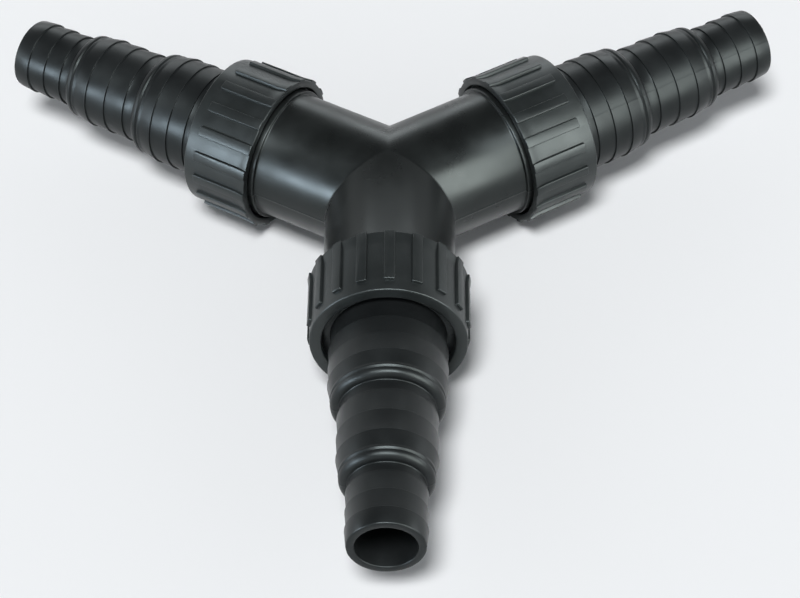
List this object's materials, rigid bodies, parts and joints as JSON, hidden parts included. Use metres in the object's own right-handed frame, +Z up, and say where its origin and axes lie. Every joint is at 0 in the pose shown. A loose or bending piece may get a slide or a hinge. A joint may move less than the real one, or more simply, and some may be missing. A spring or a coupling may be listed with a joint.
{
  "type": "tubing y connector",
  "caption": "Y-shaped hose connector: a hollow body with a ribbed union nut and a stepped barbed hose tail on each leg.",
  "frame": {"origin": "the point where the three leg axes meet, at the middle of the Y", "axes": "+Z up, square to the plane of the three legs as the part lies flat; the front leg runs along -Y, the right and left legs at 30 degrees behind +X and -X"},
  "size_m": [0.2742, 0.2377, 0.054],
  "materials": {
    "body_plastic": "satin moulded",
    "nut_plastic": "satin moulded",
    "tail_plastic": "satin moulded",
    "seal_rubber": "matte"
  },
  "bodies": {
    "y_body": {"y_body": "body_plastic"},
    "front_seal": {"front_seal": "seal_rubber"},
    "front_tail": {"front_tail": "tail_plastic"},
    "front_nut": {"front_nut": "nut_plastic"},
    "right_seal": {"right_seal": "seal_rubber"},
    "right_tail": {"right_tail": "tail_plastic"},
    "right_nut": {"right_nut": "nut_plastic"},
    "left_seal": {"left_seal": "seal_rubber"},
    "left_tail": {"left_tail": "tail_plastic"},
    "left_nut": {"left_nut": "nut_plastic"}
  },
  "joints": [
    {"name": "front_draw_off", "type": "slide", "parent": "y_body", "child": "front_seal", "axis": [0, -1, 0], "range_m": [0, 0.01618]},
    {"name": "front_unscrew", "type": "hinge", "parent": "front_seal", "child": "front_nut", "pos_m": [0, 0, 0], "axis": [0, -1, 0], "range_deg": [0, 2520]},
    {"name": "front_swivel", "type": "hinge", "parent": "front_seal", "child": "front_tail", "pos_m": [0, 0, 0], "axis": [0, -1, 0], "continuous": true},
    {"name": "right_draw_off", "type": "slide", "parent": "y_body", "child": "right_seal", "axis": [0.866, 0.5, 0], "range_m": [0, 0.01618]},
    {"name": "right_unscrew", "type": "hinge", "parent": "right_seal", "child": "right_nut", "pos_m": [0, 0, 0], "axis": [0.866, 0.5, 0], "range_deg": [0, 2520]},
    {"name": "right_swivel", "type": "hinge", "parent": "right_seal", "child": "right_tail", "pos_m": [0, 0, 0], "axis": [0.866, 0.5, 0], "continuous": true},
    {"name": "left_draw_off", "type": "slide", "parent": "y_body", "child": "left_seal", "axis": [-0.866, 0.5, 0], "range_m": [0, 0.01618]},
    {"name": "left_unscrew", "type": "hinge", "parent": "left_seal", "child": "left_nut", "pos_m": [0, 0, 0], "axis": [-0.866, 0.5, 0], "range_deg": [0, 2520]},
    {"name": "left_swivel", "type": "hinge", "parent": "left_seal", "child": "left_tail", "pos_m": [0, 0, 0], "axis": [-0.866, 0.5, 0], "continuous": true}
  ],
  "couplings": [
    {"joint": "front_draw_off", "follows": "front_unscrew", "m_per_rad": 0.00036749},
    {"joint": "right_draw_off", "follows": "right_unscrew", "m_per_rad": 0.00036749},
    {"joint": "left_draw_off", "follows": "left_unscrew", "m_per_rad": 0.00036749}
  ]
}
